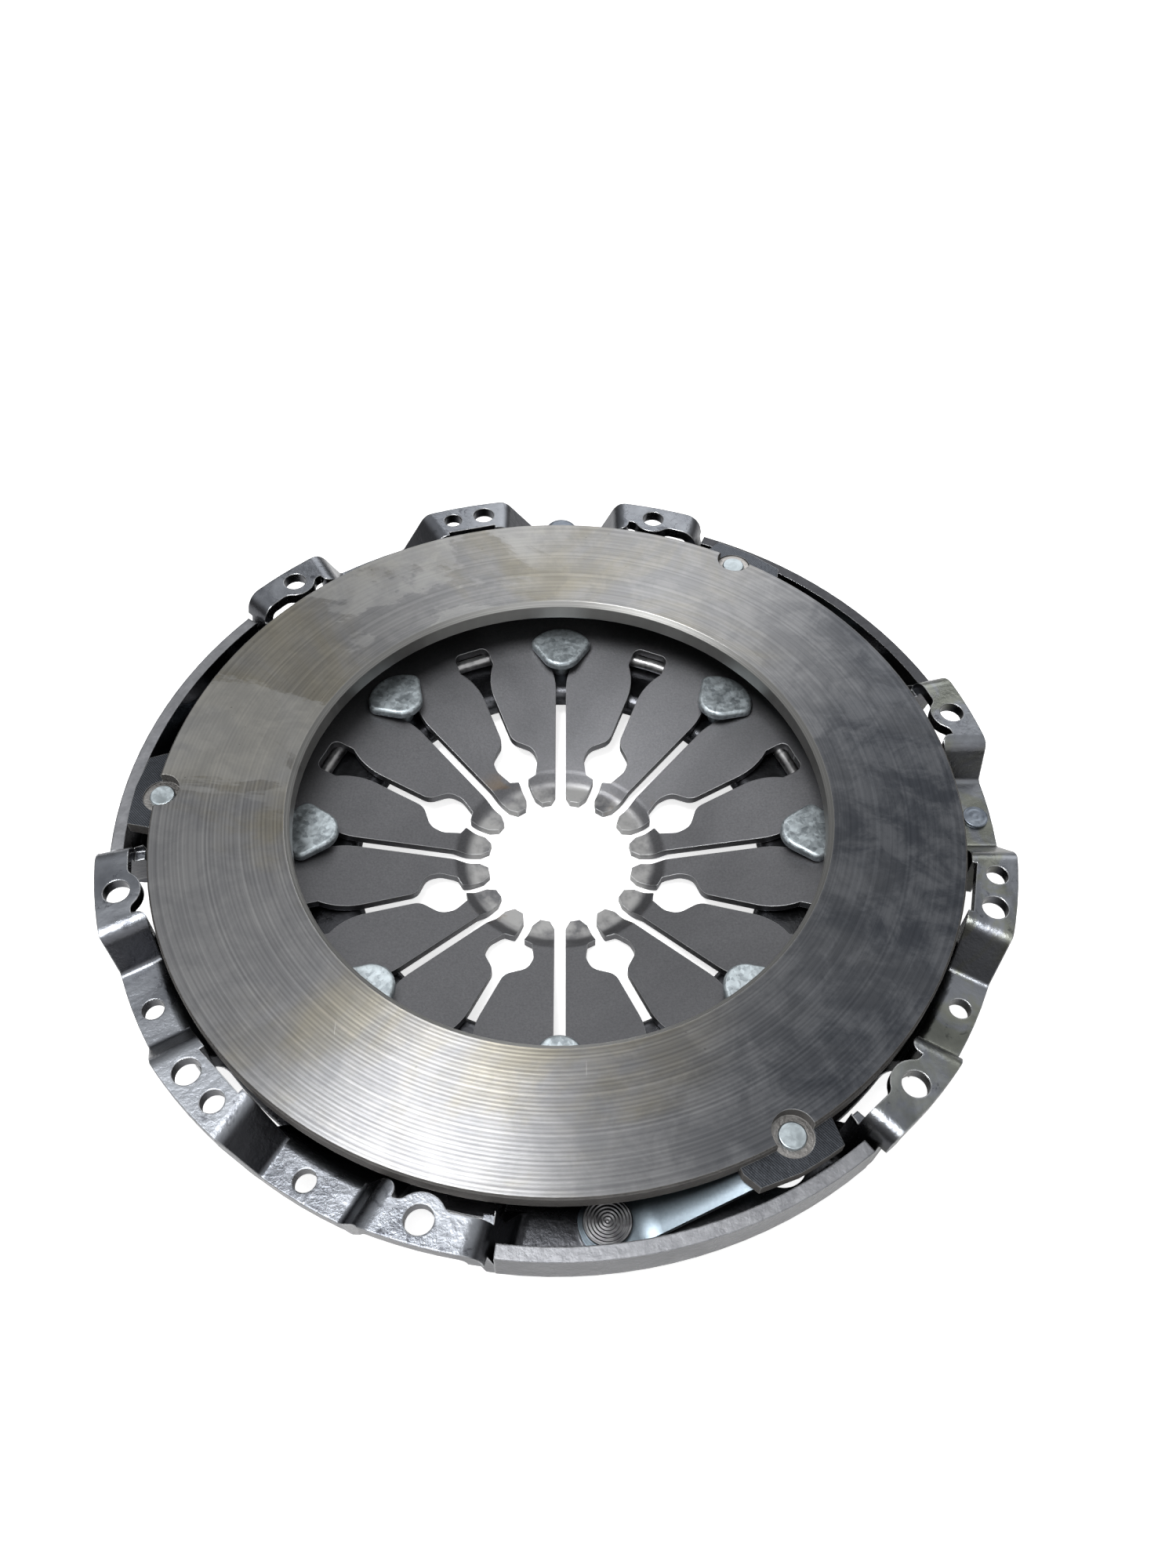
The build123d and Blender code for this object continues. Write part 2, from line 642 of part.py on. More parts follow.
strap_rise = lug_under_z - strap_stack - seat_z
strap_span = (polar(lug_rivet_r, strap_sweep) - polar(strap_rivet_r, 0)).length
half_strap = strap_width / 2
for station, angle in zip("abc", station_angles):
    anchor = polar(strap_rivet_r, angle - strap_sweep)
    lug = polar(lug_rivet_r, angle)
    along = (lug - anchor).normalized()
    side = Plane(origin=anchor, x_dir=along, z_dir=along.cross(Vector(0, 0, 1)))
    above = Plane(origin=anchor, x_dir=along, z_dir=(0, 0, 1))
    for leaf in range(strap_leaves):
        base = seat_z + leaf * leaf_thickness
        with BuildPart() as strap:
            with BuildSketch(side):
                with BuildLine():
                    lower, upper = [
                        FilletPolyline(
                            (-half_strap, z), (strap_flat, z), (strap_span - strap_flat, z + strap_rise),
                            (strap_span + half_strap, z + strap_rise), radius=strap_bend,
                        )
                        for z in (base, base + leaf_thickness)
                    ]
                    Line(lower @ 0, upper @ 0)
                    Line(lower @ 1, upper @ 1)
                make_face()
            extrude(amount=half_strap, both=True)
            with BuildSketch(above.offset(seat_z)):
                with Locations((strap_span / 2, 0)):
                    RectangleRounded(strap_span + strap_width, strap_width, strap_corner)
                with Locations((0, 0)):
                    Circle(strap_shank_r + fit, mode=Mode.SUBTRACT)
                with Locations((strap_span, 0)):
                    Circle(lug_shank_r + fit, mode=Mode.SUBTRACT)
            extrude(amount=strap_rise + strap_stack, mode=Mode.INTERSECT)
        save(strap.part, f"strap_{station}_leaf_{leaf + 1}")
    round_rivet(f"strap_rivet_{station}", anchor, strap_head_r, seat_z + strap_stack + strap_head_thickness,
                strap_head_thickness, strap_shank_r, strap_foot_r, pocket_z - sheet, strap_foot_thickness)
    round_rivet(f"lug_rivet_{station}", lug, lug_head_r, counterbore_z + lug_head_thickness,
                lug_head_thickness, lug_shank_r, lug_foot_r, lug_under_z - strap_stack, lug_foot_thickness)

# --- balance rivets -------------------------------------------------------------------
round_rivet("balance_rivet_flat", polar(balance_circle_r, flat_balance_angle), flat_head_r,
            pad_z + flat_head_thickness, flat_head_thickness, balance_hole_r - fit, balance_foot_r,
            pad_z - sheet, balance_foot_thickness)
with BuildPart() as dome_rivet:
    with BuildSketch(radial(0)):
        with BuildLine():
            head_z = pad_z + dome_head_height
            foot_z = pad_z - sheet - balance_foot_thickness
            FilletPolyline((dome_head_r, pad_z), (dome_head_r, head_z - dome_crown), (0, head_z), radius=dome_bend)
            Polyline((0, head_z), (0, foot_z), (balance_foot_r, foot_z), (balance_foot_r, pad_z - sheet),
                     (balance_hole_r - fit, pad_z - sheet), (balance_hole_r - fit, pad_z),
                     (dome_head_r, pad_z))
        make_face()
    revolve(axis=Axis.Z)
save(dome_rivet.part.moved(Location(polar(balance_circle_r, dome_balance_angle))), "balance_rivet_dome")
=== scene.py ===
"""Looks of the clutch pressure plate: finishes, fine pieces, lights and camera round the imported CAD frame."""

import math

import bmesh
import bpy
from mathutils import Matrix, Vector


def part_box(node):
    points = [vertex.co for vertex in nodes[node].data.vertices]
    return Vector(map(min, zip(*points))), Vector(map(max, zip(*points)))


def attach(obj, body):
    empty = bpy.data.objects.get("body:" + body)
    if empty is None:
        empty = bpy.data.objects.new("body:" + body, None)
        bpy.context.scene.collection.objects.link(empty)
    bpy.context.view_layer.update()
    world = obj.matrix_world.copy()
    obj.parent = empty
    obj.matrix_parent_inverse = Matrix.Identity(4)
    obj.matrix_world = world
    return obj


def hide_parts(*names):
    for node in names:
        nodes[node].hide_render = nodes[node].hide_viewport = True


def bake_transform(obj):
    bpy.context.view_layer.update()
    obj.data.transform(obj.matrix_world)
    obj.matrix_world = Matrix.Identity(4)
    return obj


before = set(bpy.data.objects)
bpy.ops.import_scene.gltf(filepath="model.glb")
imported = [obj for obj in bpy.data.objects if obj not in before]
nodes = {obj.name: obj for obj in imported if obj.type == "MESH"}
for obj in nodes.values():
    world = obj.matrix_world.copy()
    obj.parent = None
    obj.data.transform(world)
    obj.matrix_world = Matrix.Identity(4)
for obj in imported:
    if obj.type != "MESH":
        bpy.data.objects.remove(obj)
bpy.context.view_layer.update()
MM = 0.001

# ---------------------------------------------------------------- sizes, in millimetres and degrees
# Pressure plate
PLATE_BORE_R = 76.9
FACE_Z = 0.9                    # friction face
LUG_TOP_Z = -2.1
TOOL_MARK_PITCH = 1.1           # turned rings of the friction face
MILLING_PITCH = 0.75            # marks across the lugs' milled tops

# Cover
PAD_Z = -11.2                   # recessed pads of the flange
RIM_Z = -6.0                    # cut edge of the upright rim
RIM_R = 124.0                   # inside of that rim

# Straps
LUG_ANGLES = {"a": 60.0, "b": 180.0, "c": 300.0}
STRAP_SWEEP = 23.6              # from a strap's cover rivet to its lug rivet
STRAP_RIVET_R = 116.2
LUG_RIVET_R = 114.3
STRAP_FLAT = 9.0                # straight run of a strap at each rivet
STRAP_LOOPS = 13                # edge loops across the part that bends

# Diaphragm spring
FIRST_SLOT = 0.6                # angle of the spring's first slot
FINGERS = 16
FULCRUM_R = 78.95
RIDGE_R = 101.0                 # where the spring bears on the plate
SPRING_LOOPS = 9                # edge loops across the part that bends

# Turned rivets, as (radius, height): tails measure up from the rivet's low end, heads from its high end
STRAP_RIVET_TAIL = ((0.0, 0.0), (3.9, 0.0), (4.35, 0.15), (4.6, 0.5), (4.6, 2.0), (3.2, 2.0))
STRAP_RIVET_HEAD = ((3.2, -2.3), (6.05, -2.3), (6.05, -0.35), (5.9, -0.1), (5.7, -0.01))
BALANCE_RIVET_TAIL = ((0.0, 0.0), (3.4, 0.0), (3.9, 0.4), (4.0, 1.0), (4.0, 1.6), (2.85, 1.6))
BALANCE_RIVET_HEAD = ((2.85, -1.2), (3.7, -1.2), (3.7, -0.3), (3.55, -0.08))
STRAP_RIVET_RINGS = (0.85, 0.26)        # pitch and depth of the rings in a head
BALANCE_RIVET_RINGS = (1.9, 0.14)
RING_MARGIN = 0.5               # from a head's edge in to its rings
RING_STEP = 0.12                # between the points of their profile
LATHE_SEGMENTS = 96

# ---------------------------------------------------------------- finishes' common numbers
BEVEL_SAMPLES = 6
OPEN_SURFACE = 0.995            # cosine between the rounded and the true normal on open surface
SHARP_EDGE = 0.90               # and on a sharp edge

# ---------------------------------------------------------------- stage, in metres and watts
FLOOR_GAP = 0.05 * MM           # between the finger tips and the floor
FLOOR_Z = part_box("diaphragm_spring")[0].z - FLOOR_GAP
FLOOR_HALF = 4.0
FLOOR_GLOW = 0.72               # brings the lit floor up to white for the camera
FLOOR_MIRRORED_GLOW = 0.06      # the same in the metal's reflections
HORIZON_GLOW = 0.27             # strength of the surround round the horizon
HORIZON_TOP = 0.10              # up to this height of a direction, where straight up is 1
OVERHEAD_GLOW = 0.74
OVERHEAD_START = 0.80           # from this height on
WHITE = (1.0, 1.0, 1.0)
LAMPS = (
    # Name, place, width and height, power; each faces the part's origin
    ("key", (-0.35, -0.15, 1.4), (0.60, 0.60), 19.0),
    ("front", (0.5, -1.1, 0.9), (1.0, 0.8), 3.0),
    ("back", (0.3, 1.4, 0.9), (1.4, 0.6), 5.0),
)
CAMERA_PLACE = Vector((2.6, -205.2, 279.7)) * MM
CAMERA_RIGHT = (0.99982, 0.0, 0.01913)
CAMERA_UP = (-0.01147, 0.8002, 0.59964)
CAMERA_BACK = (-0.01531, -0.59975, 0.80006)
CAMERA_LENS = 27.7              # millimetres, as is the sensor's longer side
CAMERA_SENSOR = 36.0


# ---------------------------------------------------------------- shader helpers
class Nodes:
    """A node tree, with short calls for the nodes used here."""

    # Both inputs and the result of a Mix node, whose sockets share their names between its data types
    MIX_SOCKETS = {"FLOAT": (2, 3, 0), "VECTOR": (4, 5, 1), "RGBA": (6, 7, 2)}

    def __init__(self, tree):
        self.tree = tree

    def add(self, kind, settings=None, **inputs):
        """New node with its settings and inputs; a space in an input's name is written as an underscore."""
        node = self.tree.nodes.new(kind)
        for key, value in (settings or {}).items():
            setattr(node, key, value)
        for key, value in inputs.items():
            self.put(node.inputs[key.replace("_", " ")], value)
        return node

    def put(self, socket, value):
        """Links an output to a socket, or sets the socket's own value; a colour is given without alpha."""
        if isinstance(value, bpy.types.NodeSocket):
            self.tree.links.new(value, socket)
        elif socket.type == "RGBA":
            socket.default_value = (*value, 1.0)
        else:
            socket.default_value = value

    def math(self, operation, *values):
        """Result of a Math node."""
        node = self.add("ShaderNodeMath", {"operation": operation})
        for socket, value in zip(node.inputs, values):
            self.put(socket, value)
        return node.outputs[0]

    def plus(self, first, second):
        return self.math("ADD", first, second)

    def times(self, first, second):
        return self.math("MULTIPLY", first, second)

    def vector(self, operation, first, second):
        """Result of a Vector Math node with two inputs."""
        node = self.add("ShaderNodeVectorMath", {"operation": operation})
        self.put(node.inputs[0], first)
        self.put(node.inputs[1], second)
        return node.outputs["Value" if operation == "DOT_PRODUCT" else "Vector"]

    def split(self, vector):
        """The x, y and z of a vector."""
        return self.add("ShaderNodeSeparateXYZ", Vector=vector).outputs

    def step(self, value, low, high, out_low=0.0, out_high=1.0):
        """Smooth step of a value from low to high; it falls where low is the larger."""
        node = self.add("ShaderNodeMapRange", {"interpolation_type": "SMOOTHSTEP"}, Value=value,
                        From_Min=low, From_Max=high, To_Min=out_low, To_Max=out_high)
        return node.outputs["Result"]

    def mix(self, amount, first, second, data_type="RGBA", blend_type="MIX"):
        """Blend from the first colour, vector or number to the second, as far as amount says."""
        node = self.add("ShaderNodeMix", {"data_type": data_type, "blend_type": blend_type})
        first_input, second_input, result = self.MIX_SOCKETS[data_type]
        self.put(node.inputs[0], amount)
        self.put(node.inputs[first_input], first)
        self.put(node.inputs[second_input], second)
        return node.outputs[result]

    def tint(self, amount, colour, factor):
        """Colour multiplied by a factor colour, as far as amount says."""
        return self.mix(amount, colour, factor, blend_type="MULTIPLY")


class Shader(Nodes):
    """A new material's node tree. Noise scales are in waves per metre, and lengths in metres."""

    def __init__(self, name):
        self.material = bpy.data.materials.new(name)
        self.material.use_nodes = True
        super().__init__(self.material.node_tree)
        self.tree.nodes.clear()
        self.surface = self.add("ShaderNodeBsdfPrincipled")
        output = self.add("ShaderNodeOutputMaterial")
        self.put(output.inputs["Surface"], self.surface.outputs["BSDF"])
        self.position = self.add("ShaderNodeTexCoord").outputs["Object"]
        self.normal = self.add("ShaderNodeNewGeometry").outputs["Normal"]

    def radius(self):
        """Distance from the part's axis."""
        x, y, _ = self.split(self.position)
        return self.math("SQRT", self.plus(self.times(x, x), self.times(y, y)))

    def upward(self):
        """How far the surface faces the flywheel: 1 where it faces straight up."""
        return self.split(self.normal)[2]

    def slant(self, along_x, along_y):
        """Weighted sum of x and y, for a change across the part along a slanted line."""
        return self.vector("DOT_PRODUCT", self.position, (along_x, along_y, 0.0))

    def stretched(self, *scales):
        """Position scaled by axis, for noise with a grain."""
        return self.vector("MULTIPLY", self.position, scales)

    def wave(self, length, pitch):
        """Sine of a length, from -1 to 1 and back in each pitch."""
        return self.math("SINE", self.times(length, 2.0 * math.pi / pitch))

    def noise(self, scale, detail=4.0, roughness=0.5, distortion=0.0, vector=None):
        """Noise over the part's position, or over another vector."""
        node = self.add("ShaderNodeTexNoise", Scale=scale, Detail=detail, Roughness=roughness,
                        Distortion=distortion, Vector=vector or self.position)
        return node.outputs["Fac"]

    def ring_noise(self, scale, detail):
        """Noise that changes with the distance from the axis alone."""
        node = self.add("ShaderNodeTexNoise", {"noise_dimensions": "1D"}, W=self.times(self.radius(), scale),
                        Scale=1.0, Detail=detail, Roughness=0.6)
        return node.outputs["Fac"]

    def rounded(self, radius):
        """Normal that turns smoothly round edges, for a small rounding radius."""
        return self.add("ShaderNodeBevel", {"samples": BEVEL_SAMPLES}, Radius=radius).outputs[0]

    def worn_and_highlit_edges(self, colour, radius, amount, bright):
        """Colour with its sharp edges painted bright: partly wear, partly a painted highlight where edges catch
        the light.
        """
        facing = self.vector("DOT_PRODUCT", self.rounded(radius), self.normal)
        edge = self.step(facing, OPEN_SURFACE, SHARP_EDGE)
        return self.mix(self.times(edge, amount), colour, bright)

    def bump(self, height, distance, strength, normal):
        """Normal bent by a height field."""
        return self.add("ShaderNodeBump", Height=height, Distance=distance, Strength=strength,
                        Normal=normal).outputs[0]

    def finish(self, **inputs):
        """Sets the inputs of the surface and gives the material."""
        for key, value in inputs.items():
            self.put(self.surface.inputs[key.replace("_", " ")], value)
        return self.material


# ---------------------------------------------------------------- finishes
def friction_face(s, ridges, fine, stains, mottle):
    """Turned steel under oil film, with a painted yellowish sheen and painted shade on the right: its colour,
    how clear its tool marks are, and where film and that painted shade lie.
    """
    y = s.split(s.position)[1]
    # Tool marks, clearest on the lower left and washed out under films elsewhere
    low = s.step(s.slant(0.55, 1.0), 45.0 * MM, -75.0 * MM)
    clear = s.times(low, s.step(stains, 0.28, 0.55, 0.45, 1.0))
    bands = s.ring_noise(800.0, 3.0)
    steel = s.mix(s.step(bands, 0.3, 0.7), (0.255, 0.257, 0.262), (0.320, 0.322, 0.325))
    grooves = s.times(s.math("SUBTRACT", 1.0, ridges), clear)
    steel = s.tint(s.times(grooves, 0.55), steel, (0.55, 0.55, 0.56))
    steel = s.tint(s.times(fine, 0.35), steel, (0.55, 0.55, 0.55))
    # Films: straw-coloured stains that also carry a painted yellowish sheen away from the right, pale torn
    # smears at the upper left, and on the right a darker mottled patch, partly film and partly painted shade
    right = s.step(s.slant(1.0, -0.25), 28.0 * MM, 92.0 * MM)
    # Straw-coloured stains kept off the right, which also paint a yellowish sheen onto the face
    warm_stain_and_sheen = s.times(s.step(stains, 0.44, 0.62), s.step(right, 0.7, 0.1))
    steel = s.tint(s.times(warm_stain_and_sheen, 0.85), steel, (1.0, 0.93, 0.74))
    torn = s.noise(1.0, 7.0, 0.62, 0.5, s.stretched(14.0, 30.0, 14.0))
    upper_left = s.times(s.step(s.slant(1.0, -0.3), -22.0 * MM, -58.0 * MM), s.step(y, -18.0 * MM, 12.0 * MM))
    smear = s.times(s.step(torn, 0.49, 0.525), upper_left)
    steel = s.mix(s.times(smear, 0.50), steel, (0.46, 0.46, 0.45))
    steel = s.tint(s.times(s.step(mottle, 0.62, 0.40), 0.40), steel, (0.62, 0.63, 0.66))
    # Darker mottled patch on the right: partly a film, partly painted shade of the face's dark side
    dark = s.times(right, s.step(s.plus(torn, s.times(mottle, 0.35)), 0.50, 0.70, 0.78, 1.0))
    steel = s.tint(dark, steel, s.mix(s.step(mottle, 0.36, 0.66), (0.27, 0.29, 0.33), (0.50, 0.52, 0.56)))
    # Pits and a few scratches
    pits = s.times(s.step(s.noise(520.0, 2.0, 0.5), 0.745, 0.775), s.step(stains, 0.40, 0.60))
    steel = s.tint(s.times(pits, 0.5), steel, (0.30, 0.29, 0.27))
    streaks = s.noise(1.0, 1.0, 0.4, 0.0, s.stretched(2600.0, 90.0, 100.0))
    few = s.step(s.noise(45.0, 2.0, 0.5), 0.62, 0.70)
    scratch = s.times(s.step(streaks, 0.76, 0.80), few)
    steel = s.mix(s.times(scratch, 0.6), steel, (0.62, 0.62, 0.60))
    return steel, clear, s.math("MAXIMUM", smear, dark)


def milled_lugs(s, z, flat, mottle):
    """Dark milled tops of the lugs, with pale counterbores round their rivets."""
    milling = s.wave(s.slant(1.0, 1.0), MILLING_PITCH * MM)
    milled = s.mix(s.plus(s.times(milling, 0.35), s.times(mottle, 0.6)), (0.045, 0.050, 0.058),
                   (0.15, 0.16, 0.18))
    on_top = s.times(flat, s.step(z, (LUG_TOP_Z - 0.45) * MM, (LUG_TOP_Z - 0.25) * MM))
    return s.mix(on_top, (0.36, 0.35, 0.34), milled)


def turned_iron():
    """Cast iron: friction face with oil film, painted yellowish sheen and painted shade, milled lug tops,
    turned bore, rough cast elsewhere.
    """
    s = Shader("turned_iron")
    z = s.split(s.position)[2]
    r = s.radius()
    ridges = s.plus(s.times(s.wave(r, TOOL_MARK_PITCH * MM), 0.5), 0.5)
    fine = s.ring_noise(4200.0, 2.0)
    stains = s.noise(13.0, 6.0, 0.6, 0.9)
    mottle = s.noise(95.0, 7.0, 0.68, 0.4)
    # Where each surface lies
    flat = s.step(s.upward(), 0.90, 0.97)
    on_face = s.times(flat, s.step(z, (FACE_Z - 0.9) * MM, (FACE_Z - 0.3) * MM))
    in_bore = s.step(r, (PLATE_BORE_R + 2.0) * MM, (PLATE_BORE_R + 1.6) * MM)
    turned = s.math("MAXIMUM", on_face, in_bore)
    # Colours
    steel, clear, film_and_shade = friction_face(s, ridges, fine, stains, mottle)
    cast = s.mix(s.noise(160.0, 6.0, 0.65), (0.055, 0.053, 0.052), (0.13, 0.125, 0.12))
    bore = s.mix(fine, (0.20, 0.20, 0.195), (0.38, 0.38, 0.37))
    colour = s.mix(flat, cast, milled_lugs(s, z, flat, mottle))
    colour = s.mix(in_bore, colour, bore)
    colour = s.mix(on_face, colour, steel)
    # Sharp edges painted brighter: wear and painted highlight
    colour = s.worn_and_highlit_edges(colour, 0.30 * MM, 0.45, (0.50, 0.50, 0.49))
    # Relief and gloss
    rounded = s.rounded(0.30 * MM)
    height = s.plus(s.times(ridges, s.plus(s.times(clear, 0.8), 0.12)), s.times(fine, 0.45))
    grooved = s.bump(height, 0.035 * MM, 0.60, rounded)
    rough_cast = s.bump(s.noise(700.0, 5.0, 0.6), 0.35 * MM, 0.8, rounded)
    roughness = s.plus(s.step(turned, 0.0, 1.0, 0.55, 0.27), s.times(stains, 0.10))
    roughness = s.plus(roughness, s.times(film_and_shade, 0.10))
    tangent = s.add("ShaderNodeTangent", {"direction_type": "RADIAL", "axis": "Z"}).outputs[0]
    return s.finish(Base_Color=colour, Metallic=1.0, Roughness=roughness,
                    Normal=s.mix(turned, rough_cast, grooved, "VECTOR"),
                    Anisotropic=0.85, Anisotropic_Rotation=0.25, Tangent=tangent)


def spring_steel():
    """Shot-peened spring steel with worn finger tips, slot edges painted bright as wear and painted highlight,
    and a few rust stains.
    """
    s = Shader("spring_steel")
    r = s.radius()
    peened = s.noise(1500.0, 3.0, 0.7)
    clouds = s.noise(22.0, 4.0, 0.5, 0.6)
    steel = s.mix(s.times(s.plus(clouds, 0.3), s.plus(peened, 0.35)), (0.046, 0.047, 0.050),
                  (0.140, 0.141, 0.149))
    worn = s.times(s.step(r, 30.5 * MM, 26.5 * MM), s.step(s.noise(120.0, 4.0, 0.6), 0.30, 0.60))
    steel = s.mix(s.times(worn, 0.75), steel, (0.36, 0.36, 0.355))
    rust = s.times(s.step(s.noise(75.0, 5.0, 0.6, 0.6), 0.60, 0.70), s.step(r, 40.0 * MM, 31.0 * MM))
    steel = s.mix(s.times(rust, 0.55), steel, (0.16, 0.115, 0.07))
    steel = s.worn_and_highlit_edges(steel, 0.35 * MM, 0.75, (0.52, 0.53, 0.54))
    normal = s.bump(peened, 0.05 * MM, 0.6, s.rounded(0.35 * MM))
    return s.finish(Base_Color=steel, Metallic=1.0, Roughness=s.step(clouds, 0.2, 0.8, 0.38, 0.50),
                    Normal=normal)


def phosphated_sheet():
    """Pressed sheet under dark, oily phosphate: flats facing up painted pale bluish as a painted reflection of
    the bright overhead, bends and edges painted bright as wear and painted highlight, a pale sheared rim edge.
    """
    s = Shader("phosphated_sheet")
    x, _, z = s.split(s.position)
    upward = s.upward()
    clouds = s.noise(34.0, 6.0, 0.62, 0.8)
    # Flats of the flange that face up painted pale bluish, a painted reflection of the bright overhead, with
    # dark scuffs, over the dark pressing
    dark = s.mix(clouds, (0.042, 0.043, 0.048), (0.105, 0.108, 0.118))
    pale = s.mix(s.step(clouds, 0.3, 0.7), (0.12, 0.128, 0.145), (0.27, 0.285, 0.31))
    top = s.times(s.step(upward, 0.70, 0.97), s.step(z, (PAD_Z - 2.3) * MM, (PAD_Z + 0.7) * MM))
    colour = s.mix(top, dark, pale)
    scuffs = s.times(s.step(s.noise(130.0, 6.0, 0.7, 1.2), 0.585, 0.64), top)
    colour = s.tint(s.times(scuffs, 0.75), colour, (0.40, 0.40, 0.42))
    oil = s.times(s.step(x, 55.0 * MM, 105.0 * MM), s.step(s.noise(55.0, 4.0, 0.6, 1.0), 0.44, 0.60))
    colour = s.tint(s.times(oil, 0.60), colour, (0.95, 0.93, 0.62))
    colour = s.worn_and_highlit_edges(colour, 0.6 * MM, 0.65, (0.58, 0.59, 0.60))
    # The rim's sheared edge, darker towards the upper right
    round_rim = s.times(s.step(upward, 0.85, 0.97), s.step(s.radius(), (RIM_R - 0.4) * MM, RIM_R * MM))
    at_height = s.times(s.step(z, (RIM_Z - 0.6) * MM, (RIM_Z - 0.2) * MM),
                        s.step(z, (RIM_Z + 0.6) * MM, (RIM_Z + 0.2) * MM))
    sheared = s.times(round_rim, at_height)
    torn = s.mix(s.noise(300.0, 6.0, 0.7, 0.6), (0.11, 0.114, 0.125), (0.32, 0.325, 0.34))
    torn = s.tint(s.step(s.slant(1.0, 1.0), 80.0 * MM, 130.0 * MM), torn, (0.30, 0.30, 0.31))
    colour = s.mix(sheared, colour, torn)
    # Relief and gloss
    grain = s.noise(900.0, 4.0, 0.65)
    hammered = s.noise(420.0, 3.0, 0.55)
    height = s.plus(s.times(grain, 0.5), s.times(hammered, 0.8))
    normal = s.bump(height, 0.16 * MM, 0.75, s.rounded(0.6 * MM))
    roughness = s.plus(s.step(clouds, 0.25, 0.75, 0.20, 0.36), s.times(sheared, 0.15))
    return s.finish(Base_Color=colour, Metallic=1.0, Roughness=roughness, Normal=normal)


def mottled_zinc():
    """Pale bluish zinc phosphate on the pivot rivets, worn through in spots."""
    s = Shader("mottled_zinc")
    crystals = s.add("ShaderNodeTexVoronoi", Scale=900.0, Vector=s.position).outputs["Color"]
    clouds = s.noise(330.0, 6.0, 0.65, 0.5)
    shade = s.plus(s.times(s.split(crystals)[0], 0.30), s.times(clouds, 0.75))
    colour = s.mix(s.step(shade, 0.22, 0.80), (0.22, 0.25, 0.27), (0.52, 0.58, 0.61))
    worn = s.step(s.noise(260.0, 5.0, 0.65, 1.4), 0.60, 0.68)
    colour = s.mix(s.times(worn, 0.45), colour, (0.13, 0.14, 0.15))
    # Sharp edges painted brighter: wear and painted highlight
    colour = s.worn_and_highlit_edges(colour, 0.5 * MM, 0.45, (0.70, 0.75, 0.77))
    height = s.plus(clouds, s.times(worn, -0.2))
    normal = s.bump(height, 0.10 * MM, 0.5, s.rounded(1.1 * MM))
    return s.finish(Base_Color=colour, Metallic=0.8, Roughness=s.step(clouds, 0.3, 0.7, 0.34, 0.52),
                    Normal=normal)


def rolled_strip():
    """Blue-grey rolled strip of the straps."""
    s = Shader("rolled_strip")
    clouds = s.noise(70.0, 4.0, 0.5)
    fine = s.noise(1200.0, 2.0, 0.6)
    colour = s.mix(s.times(s.plus(clouds, fine), 0.5), (0.09, 0.11, 0.13), (0.20, 0.24, 0.27))
    normal = s.bump(fine, 0.03 * MM, 0.4, s.rounded(0.25 * MM))
    return s.finish(Base_Color=colour, Metallic=1.0, Roughness=0.30, Normal=normal)


def rivet_steel(name, dark, pale):
    """Steel of a rivet or the wire ring, clouded between two shades."""
    s = Shader(name)
    clouds = s.noise(300.0, 5.0, 0.6, 0.5)
    colour = s.mix(s.step(clouds, 0.3, 0.7), dark, pale)
    # Sharp edges painted brighter: wear and painted highlight
    colour = s.worn_and_highlit_edges(colour, 0.3 * MM, 0.5, tuple(1.5 * v for v in pale))
    normal = s.bump(clouds, 0.08 * MM, 0.5, s.rounded(0.3 * MM))
    return s.finish(Base_Color=colour, Metallic=1.0, Roughness=s.step(clouds, 0.3, 0.7, 0.30, 0.46),
                    Normal=normal)


def coat(mesh, material):
    """Gives a mesh its one finish."""
    mesh.materials.clear()
    mesh.materials.append(material)


# Finishes by the start of a CAD node's name
FINISHES = {
    "pressure_plate": turned_iron(),
    "diaphragm_spring": spring_steel(),
    "cover": phosphated_sheet(),
    "pivot_rivet": mottled_zinc(),
    "strap_rivet": rivet_steel("ringed_steel", (0.10, 0.10, 0.105), (0.21, 0.21, 0.215)),
    "lug_rivet": rivet_steel("pale_rivet", (0.30, 0.34, 0.36), (0.50, 0.56, 0.59)),
    "balance_rivet": rivet_steel("blued_rivet", (0.13, 0.15, 0.18), (0.24, 0.27, 0.31)),
    "fulcrum_ring": rivet_steel("drawn_wire", (0.22, 0.22, 0.225), (0.40, 0.40, 0.40)),
}
for node_name, node_object in nodes.items():
    for prefix, finish in FINISHES.items():
        if node_name.startswith(prefix):
            coat(node_object.data, finish)


# ---------------------------------------------------------------- pieces sliced with edge loops, and pieces with turned detail
def polar(r, angle):
    """Point in metres in the plane of the origin, from a radius in millimetres and an angle in degrees."""
    return Vector((r * math.cos(math.radians(angle)), r * math.sin(math.radians(angle)), 0.0)) * MM


def add_object(name, data):
    """Object in the scene for a mesh, a lamp or a camera."""
    thing = bpy.data.objects.new(name, data)
    bpy.context.scene.collection.objects.link(thing)
    return thing


def add_piece(name, mesh, finish):
    """Visible piece of the part."""
    coat(mesh, finish)
    return add_object(name, mesh)


def new_mesh(name, work):
    """Mesh from a finished bmesh."""
    mesh = bpy.data.meshes.new(name)
    work.to_mesh(mesh)
    work.free()
    return mesh


def bisect(work, place, normal, **options):
    """Cuts a bmesh along a plane."""
    everything = work.verts[:] + work.edges[:] + work.faces[:]
    bmesh.ops.bisect_plane(work, geom=everything, plane_co=place, plane_no=normal, **options)


def sliced_copy(node, cuts, kept=()):
    """Copy of a CAD node's mesh with edge loops at the cuts, less what lies behind the kept planes."""
    work = bmesh.new()
    work.from_mesh(nodes[node].data)
    for place, normal in kept:
        bisect(work, place, normal, clear_inner=True)
    for place, normal in cuts:
        bisect(work, place, normal)
    return new_mesh(node + "_mesh", work)


